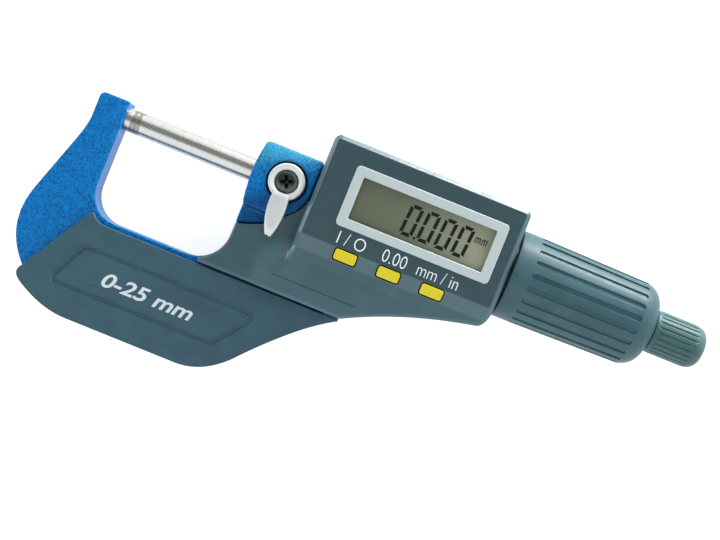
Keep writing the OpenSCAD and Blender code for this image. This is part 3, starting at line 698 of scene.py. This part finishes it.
place(front_cover(), "frame", LOOKS["grey_plastic"], "grey_plastic", "front_cover").name = "front_shell"
place(rear_cover(), "frame", LOOKS["grey_plastic"], "grey_plastic", "rear_cover").name = "rear_shell"


# ---- The grip plates ----

GRIP_Z = (4.5, 7.0)
GRIP = (
    curve((-2.2, -28.8), (-1.1, -26.3), (-0.2, -27.9), 8)
    + curve((-0.2, -27.9), (1.2, -29.5), (4.4, -29.5), 8)[1:]
    + [(71.2, -29.5)] + curve((71.9, -29.7), (62.96, -34.6), (50.5, -48.3), 20)
    + curve((50.5, -48.3), (43.5, -56.7), (34.7, -56.7), 14)[1:]
    + curve((2.5, -56.7), (-4.5, -56.6), (-11.9, -52.2), 12)
    + curve((-11.9, -52.2), (-15.8, -50), (-13.2, -47.3), 10)[1:]
)
GRIP_LINE = [(0.2, -35.9), (49.2, -35.9), (50.9, -38), (42.6, -48.9), (-4.6, -49.1), (-5.4, -47)]


def rounded(outline, r, n=6):
    """The polygon with each corner cut by a quadratic curve that starts r from it."""
    pts = [np.array(p, float) for p in outline]
    out = []
    for before, at, after in zip(pts[-1:] + pts[:-1], pts, pts[1:] + pts[:1]):
        back, ahead = before - at, after - at
        reach = [min(r, 0.45 * np.linalg.norm(v)) / np.linalg.norm(v) for v in (back, ahead)]
        out += curve(at + back * reach[0], at, at + ahead * reach[1], n)
    return out


def channel(outline, width, depth, z):
    """A groove's cutter along a closed line: a round-bottomed section swept along it."""
    side = [(-0.5, 0.3), (-0.5, 0.0), (-0.4, -0.55), (-0.2, -0.92)]
    profile = side + [(0, -1)] + [(-u, v) for u, v in reversed(side)]
    rings = [inset(outline, u * width) for u, _ in profile]
    n = len(outline)
    points = [(x, y, z + depth * v) for ring, (_, v) in zip(rings, profile) for x, y in ring]
    k = len(profile)
    faces = [(a * n + i, a * n + (i + 1) % n, ((a + 1) % k) * n + (i + 1) % n, ((a + 1) % k) * n + i)
             for a in range(k) for i in range(n)]
    return new_object("cutter", points, faces)


def grip_plate(name, holes):
    """One plate, front side up, with each screw's hole cut as steps of (radius, from z, to z)."""
    obj = prism(GRIP, *GRIP_Z, name)
    soften(obj, 0.22, 2, 40)
    middle = inset(rounded(GRIP_LINE, 1.8), 0.72)
    combine(obj, channel(middle, 1.35, 0.5, GRIP_Z[1]))
    for at in GRIP_SCREWS:
        combine(obj, *[disc(at, r, z0, z1, 48) for r, z0, z1 in holes])
    return obj


place(grip_plate("front_plate", [(1.05, 3, 6.2)]), "frame", GRIP_PLASTIC, "grey_plastic", "front_grip_plate")
place(mirror(grip_plate("rear_plate", [(1.15, 3, 8), (2.1, 5.7, 8)])), "frame", GRIP_PLASTIC,
      "grey_plastic", "rear_grip_plate")


# ---- Thimble and ratchet ----

FLUTES, KNOB_RIBS = 21, 24
THIMBLE_R, THIMBLE_END_R, KNOB_R = 12.5, 11.9, 6.1
FLUTE_X = (115.2, 146.9)
FLUTE_HALF, FLUTE_DEPTH, RIB_DEPTH = 0.7, 0.47, 0.3
FLUTE_START = -5.97         # degrees, from the front (+z) to the middle of the nearest flute


def flute_angles(count, r, offsets, start):
    """Angles round the axis, close together at the edges of each flute."""
    pitch = 2 * math.pi / count
    half = [o / r for o in offsets]
    around = [-a for a in reversed(half)] + [0.0] + half
    return np.array([start + i * pitch + a for i in range(count) for a in around])


def from_nearest(angles, r, count, start):
    """The distance round the surface from the nearest flute's middle."""
    pitch = 2 * math.pi / count
    return np.abs((angles - start + pitch / 2) % pitch - pitch / 2) * r


def thimble():
    start = math.pi / 2 + math.radians(FLUTE_START)

    def depth(x, r, angles):
        s = from_nearest(angles, r, FLUTES, start)
        beyond = max(0.0, FLUTE_X[0] + FLUTE_HALF - x, x - FLUTE_X[1] + FLUTE_HALF)
        return FLUTE_DEPTH * (1 - smoothstep(-0.12, 0.06, np.hypot(beyond, s) - FLUTE_HALF))

    ends = [FLUTE_X[0] + d for d in (-0.2, -0.1, 0, 0.06, 0.12, 0.2, 0.3, 0.42, 0.56, 0.7, 1.0)]
    ends += [FLUTE_X[1] - d for d in (1.0, 0.7, 0.56, 0.42, 0.3, 0.2, 0.12, 0.06, 0, -0.1)]
    body = [110.35, 112, 113.5, 114.6] + ends[:11] + list(np.linspace(118, 144, 10)) + ends[11:]
    outer = [(x, THIMBLE_R - (THIMBLE_R - THIMBLE_END_R) * max(0, x - 115) / 31.9, True) for x in body]
    shoulder = curve((147.05, 11.88), (151.3, 11.0), (152.05, 6.9), 14)
    stations = [(111.5, 10.6, False), (110.0, 10.6, False), (110.0, 12.1, False), (110.05, 12.32, False),
                (110.15, 12.44, False)] + outer
    inside = [(152.2, 6.5), (152.2, 6.2), (152.2, 4.8), (147.5, 4.8), (147.5, 10.6), (111.5, 10.6)]
    stations += [(x, r, False) for x, r in shoulder + inside]
    angles = flute_angles(FLUTES, THIMBLE_R, (0.3, 0.5, 0.58, 0.63, 0.68, 0.72, 0.76, 0.85, 1.2, 1.6), start)
    return fluted("fluted_thimble", stations, angles, depth)


def knob():
    start = math.pi / 2

    def depth(x, r, angles):
        s = from_nearest(angles, r, KNOB_RIBS, start)
        fade = min(smoothstep(153.2, 154.2, x), 1 - smoothstep(163.6, 165.4, x))
        return RIB_DEPTH * fade * (1 - smoothstep(0.08, 0.34, s))

    body = [152.55, 152.7, 153.2, 153.4, 153.6, 153.8, 154.0, 154.2] + list(np.linspace(155, 163, 8))
    outer = [(x, KNOB_R - (0.12 if x < 152.6 else 0), True) for x in body]
    dome = curve((163.6, KNOB_R), (167.4, KNOB_R), (167.9, 2.6), 16)
    stations = [(165.6, 0.02, False), (165.6, 4.9, False), (152.5, 4.9, False), (152.5, 5.9, False)] + outer
    stations += [(x, r, True) for x, r in dome] + [(167.98, 1.4, False), (168.0, 0.02, False)]
    angles = flute_angles(KNOB_RIBS, KNOB_R, (0.12, 0.22, 0.3, 0.38, 0.55), start)
    return fluted("ratchet_cap", stations, angles, depth)


place(thimble(), "spindle", THIMBLE_PLASTIC, "grey_plastic", "thimble", flat_faced=False)
place(knob(), "ratchet", KNOB_PLASTIC, "grey_plastic", "ratchet_knob", flat_faced=False)


# ---- The spindle lock ----

def lever_ring():
    """The clamp lever's ring, with its countersink."""
    outside = [(1.3, 7.2), (4.75, 7.2), (5.0, 7.4), (5.0, 9.45)]
    outside += [(4.93, 9.68), (4.72, 9.84), (4.4, 9.9), (4.2, 9.88)]
    countersink = [(3.5, 9.35), (3.28, 9.2), (3.25, 9.1), (3.25, 8.3), (1.3, 8.3), (1.3, 7.2)]
    return lathe("lever_ring", outside + countersink, LOCK_AT)


LEAF_TOP, LEAF_BOTTOM = 10.8, 8.85


def lever_leaf():
    """The lever's crowned leaf, with a nick in its tip."""
    left = curve((-2.25, -3.3), (-2.6, -5.6), (-2.4, -8.0), 6)
    left += curve((-2.4, -8.0), (-2.0, -11.6), (-0.3, -15.1), 12)[1:]
    right = curve((2.25, -3.3), (2.7, -5.6), (2.75, -8.0), 6)
    right += curve((2.75, -8.0), (2.8, -11.6), (1.6, -15.1), 12)[1:]
    stations = [(lx, rx, ly) for (lx, ly), (rx, _) in zip(left, right)] + [(0.1, 1.25, -15.4)]
    across = np.array([-1, -0.94, -0.8, -0.6, -0.35, 0, 0.35, 0.6, 0.8, 0.94, 1])
    points = []
    for lx, rx, y in stations:
        nick = 0.5 * smoothstep(-15.0, -15.4, y) * np.exp(-((across + 0.4) / 0.3) ** 2)
        end = 0.5 * smoothstep(-13.2, -15.2, y) + 0.35 * smoothstep(-4.0, -3.3, y)
        top = LEAF_TOP - end - nick - 0.42 * np.abs(across) ** 2.6 - 0.22 * (np.abs(across) > 0.97)
        middle, half = (lx + rx) / 2, (rx - lx) / 2
        upper = [(middle + u * half, y + d, z) for u, z, d in zip(across, top, nick)]
        lower = [(middle + u * half * 0.96, y + d, LEAF_BOTTOM) for u, d in zip(across, nick)]
        points += upper + lower[::-1]
    n = 2 * len(across)
    faces = skin(n, len(stations))
    faces += [tuple(range(n)), tuple(range((len(stations) - 1) * n, len(stations) * n))]
    return new_object("lever_leaf", [(x + LOCK_AT[0], y, z) for x, y, z in points], faces)


RECESS_TURN = 22.0      # degrees, as the screw was left when it was tightened


def lock_screw():
    """A low domed head with a cross recess that narrows downwards."""
    dome = [(0.0, 5.0), (1.2, 5.0), (1.2, 8.3), (3.05, 8.3), (3.14, 8.45), (3.15, 8.75)]
    dome += [(3.15 * math.cos(a), 8.75 + 0.95 * math.sin(a)) for a in np.linspace(0.12, math.pi / 2, 14)]
    dome[-1] = (0.0, 9.7)
    obj = lathe("lever_screw", dome, LOCK_AT)
    corners = ((-1, -1), (1, -1), (1, 1), (-1, 1))
    ends = ((2.1, 0.5, 9.9), (0.5, 0.15, 7.5))      # half the width, half the thickness, and the height
    blade = [(a * w, b * t, z) for w, t, z in ends for a, b in corners]
    sides = [(0, 1, 2, 3), (4, 7, 6, 5), (0, 4, 5, 1), (1, 5, 6, 2), (2, 6, 7, 3), (3, 7, 4, 0)]
    to_lock = Matrix.Translation((LOCK_AT[0] * MM, 0, 0))
    for turn in (0, 90):
        cutter = new_object("cutter", blade, sides)
        cutter.data.transform(to_lock @ Matrix.Rotation(math.radians(turn + RECESS_TURN), 4, "Z"))
        combine(obj, cutter)
    return obj


place(lever_ring(), "lock", LOOKS["lever_metal"], "lever_metal", "lock_lever", sharp=40, flat_faced=False)
place(lever_leaf(), "lock", LOOKS["lever_metal"], "lever_metal", sharp=40, flat_faced=False)
place(lock_screw(), "lock", LOOKS["black_steel"], "black_steel", "lock_screw", sharp=40, flat_faced=False)


# ---- Small parts that only need their edges eased ----

EASED = [
    ("display_bezel", "bezel", "frame", 0.28), ("anvil", "anvil_post", "frame", 0.12),
    ("anvil_tip", "anvil_carbide", "frame", 0.1), ("spindle_tip", "spindle_carbide", "spindle", 0.1),
    ("spindle", "ground_spindle", "spindle", 0.1), ("cover_screws", "cover_screw_set", "frame", 0.1),
    ("grip_plate_screws", "plate_screw_set", "frame", 0.1), ("battery_cap", "cell_cap", "battery_lid", 0.15),
    ("on_off_button", "key_left", "on_off_key", 0.25), ("zero_button", "key_middle", "zero_key", 0.25),
    ("unit_button", "key_right", "unit_key", 0.25),
]
for node, name, body, width in EASED:
    slot_name = SLOT_OF[node]
    place(soften(copy_of(node, name), width, 3, 40), body, LOOKS[slot_name], slot_name, node)

# The barrel takes the near-black tube, as painted shadow in the gap.
place(soften(copy_of("barrel", "barrel_tube"), 0.15, 3, 40), "frame", TUBE_PAINTED_SHADOW, "aluminium_tube", "barrel")


# ---- The display and the printing ----

def flat_shapes(name, outlines, z, thick, look, slot_name):
    """Thin printed shapes: each outline, a closed polygon, as a slab of this thickness."""
    points, faces = [], []
    for outline in outlines:
        start, n = len(points), len(outline)
        points += [(x, y, level) for level in (z, z + thick) for x, y in outline]
        faces += [tuple(start + i for i in range(n - 1, -1, -1)), tuple(start + n + i for i in range(n))]
        faces += [(start + i, start + (i + 1) % n, start + n + (i + 1) % n, start + n + i) for i in range(n)]
    return place(new_object(name, points, faces), "frame", look, slot_name)


def digit(x, y, segments):
    """Segments of one seven-segment figure that leans a little to the right."""
    w, h, t, gap = 3.78, 8.75, 0.96, 0.07       # the figure's width and height, a segment's, and between two
    lean = math.tan(math.radians(4.6))
    half, cut = h / 2, t * 0.55
    bars = {
        "top": [(cut + gap, h), (w - cut - gap, h), (w - t - gap, h - t), (t + gap, h - t)],
        "bottom": [(cut + gap, 0), (t + gap, t), (w - t - gap, t), (w - cut - gap, 0)],
        "upper_left": [(0, h - cut), (t, h - t - gap), (t, half + 0.4),
                       (t / 2, half + 0.16), (0, half + 0.3)],
        "lower_left": [(0, cut), (t, t + gap), (t, half - 0.4),
                       (t / 2, half - 0.16), (0, half - 0.3)],
    }
    for side in ("upper", "lower"):
        bars[side + "_right"] = [(w - a, b) for a, b in bars[side + "_left"]][::-1]
    return [[(x + a + b * lean, y + b) for a, b in bars[s]] for s in segments]


PRINT_THICK = 0.02
ZERO = ("top", "bottom", "upper_left", "lower_left", "upper_right", "lower_right")
DIGITS_AT = (77.75, -1.65)
LCD_TOP = 11.0
DIGIT_PITCH = 4.92
UNIT_X, UNIT_PITCH = 97.55, 1.85
shapes = [s for i in range(4) for s in digit(DIGITS_AT[0] + DIGIT_PITCH * i, DIGITS_AT[1], ZERO)]
# The decimal point, and then the unit's two small letters.
shapes.append([(81.95, -1.65), (82.55, -1.65), (82.6, -0.95), (82.0, -0.95)])
for x in (UNIT_X, UNIT_X + UNIT_PITCH):
    for a in (x, x + 0.62, x + 1.24):
        shapes.append([(a, 3.7), (a + 0.26, 3.7), (a + 0.38, 5.25), (a + 0.12, 5.25)])
    shapes.append([(x + 0.14, 5.02), (x + 1.62, 5.02), (x + 1.6, 5.3), (x + 0.14, 5.3)])
flat_shapes("lcd_figures", shapes, LCD_TOP + 0.01, PRINT_THICK, SEGMENT, "black_resin")


def lettering(name, text, x0, x1, y0, y1, z, weight=0.0, shear=0.0, look=INK):
    """Generic printed characters, scaled to fill the box."""
    font = bpy.data.curves.new(name, "FONT")
    font.body, font.offset, font.shear, font.extrude = text, weight, shear, 0.01
    font.resolution_u = 6
    source = bpy.data.objects.new(name, font)
    bpy.context.collection.objects.link(source)
    mesh = bpy.data.meshes.new_from_object(source.evaluated_get(bpy.context.evaluated_depsgraph_get()))
    bpy.data.objects.remove(source)
    points = np.zeros(len(mesh.vertices) * 3)
    mesh.vertices.foreach_get("co", points)
    points = points.reshape(-1, 3)
    low, high = points.min(0), points.max(0)
    target_low, target_high = np.array((x0, y0, z)), np.array((x1, y1, z + PRINT_THICK))
    points = (points - low) / (high - low) * (target_high - target_low) + target_low
    mesh.vertices.foreach_set("co", (points * MM).ravel())
    mesh.update()
    obj = bpy.data.objects.new(name, mesh)
    bpy.context.collection.objects.link(obj)
    clean(obj)
    return place(obj, "frame", look, "white_plastic")


SUNK = 0.005            # how far the printing goes into the face under it
KEY_LABEL_Y = (-10.2, -6.75)
KEY_LABELS = [("mark_on_off", "I / O", 63.4, 71.2), ("mark_zero", "0.00", 76.2, 83.0),
              ("mark_unit", "mm / in", 86.2, 97.8)]
for name, text, x0, x1 in KEY_LABELS:
    lettering(name, text, x0, x1, *KEY_LABEL_Y, FACE_Z - SUNK, weight=-0.012)
lettering("mark_range", "0-25 mm", 8.4, 34.6, -44.9, -40.8, GRIP_Z[1] - SUNK,
          weight=0.02, shear=0.25, look=GRIP_INK)


# ---- Floor, light and camera ----

FLOOR_Z = cad_box[0][2] / MM - 0.02
FLOOR_REACH = 4000.0


def floor():
    """The white ground, just under the lowest point of the part."""
    corners = [(x * FLOOR_REACH, y * FLOOR_REACH, FLOOR_Z) for x, y in ((-1, -1), (1, -1), (1, 1), (-1, 1))]
    obj = new_object("floor", corners, [(0, 1, 2, 3)])
    if obj.data.polygons[0].normal.z < 0:
        obj.data.flip_normals()
    look = Look("pale_floor", (0.6, 0.6, 0.6), 0.9, Emission_Color=(1, 1, 1, 1), Emission_Strength=0.68)
    cloud = look.noise(60.0, 3.0)
    obj.data.materials.append(look.finish(look.blend(cloud, (0.59, 0.59, 0.59), (0.61, 0.61, 0.61))))


PATCH_AT = Vector((-0.28, 0.22, 0.93)).normalized()     # the direction of the patch's middle
PATCH_STRETCH = (0.55, 1.0, 1.0)
PATCH_EDGE = (0.36, 0.62)


def world(strength, patch):
    """An even white studio with a dark patch overhead, where the camera and the photographer would be."""
    scene_world = bpy.data.worlds.new("studio")
    bpy.context.scene.world = scene_world
    scene_world.use_nodes = True
    tree = scene_world.node_tree
    background = tree.nodes["Background"]
    background.inputs["Strength"].default_value = strength
    coordinates = tree.nodes.new("ShaderNodeTexCoord")
    offset = tree.nodes.new("ShaderNodeVectorMath")
    offset.operation = "SUBTRACT"
    offset.inputs[1].default_value = PATCH_AT
    stretch = tree.nodes.new("ShaderNodeVectorMath")
    stretch.operation = "MULTIPLY"
    stretch.inputs[1].default_value = PATCH_STRETCH
    length = tree.nodes.new("ShaderNodeVectorMath")
    length.operation = "LENGTH"
    ramp = tree.nodes.new("ShaderNodeMapRange")
    ramp.interpolation_type = "SMOOTHSTEP"
    limits = {"From Min": PATCH_EDGE[0], "From Max": PATCH_EDGE[1], "To Min": patch, "To Max": 1.0}
    for key, value in limits.items():
        ramp.inputs[key].default_value = value
    tree.links.new(coordinates.outputs["Generated"], offset.inputs[0])
    tree.links.new(offset.outputs[0], stretch.inputs[0])
    tree.links.new(stretch.outputs[0], length.inputs[0])
    tree.links.new(length.outputs["Value"], ramp.inputs["Value"])
    tree.links.new(ramp.outputs[0], background.inputs["Color"])


def lamp(name, at, aim, size, power, colour=(1, 1, 1)):
    """A soft box, width by height, at a place in millimetres, facing another."""
    light = bpy.data.lights.new(name, "AREA")
    light.shape, light.size, light.size_y = "RECTANGLE", size[0] * MM, size[1] * MM
    light.energy, light.color = power, colour
    obj = bpy.data.objects.new(name, light)
    obj.location = Vector(at) * MM
    obj.rotation_euler = (Vector(aim) - Vector(at)).to_track_quat("-Z", "Y").to_euler()
    bpy.context.collection.objects.link(obj)


floor()
world(strength=1.5, patch=0.22)
lamp("key", at=(245, 500, 42), aim=(80, -10, 0), size=(345, 104), power=6.0, colour=(1, 0.96, 0.9))
lamp("side", at=(-480, 40, 60), aim=(60, 0, 0), size=(300, 110), power=0.6)

camera = bpy.data.objects.new("camera", bpy.data.cameras.new("camera"))
bpy.context.collection.objects.link(camera)
camera.location = (0.0721, -0.0146, 0.340)          # in metres, straight above the lower body
camera.rotation_euler = (0, 0, math.radians(22))
camera.data.lens, camera.data.sensor_width = 61.5, 36
bpy.context.scene.camera = camera
bpy.context.scene.view_settings.view_transform = "Standard"
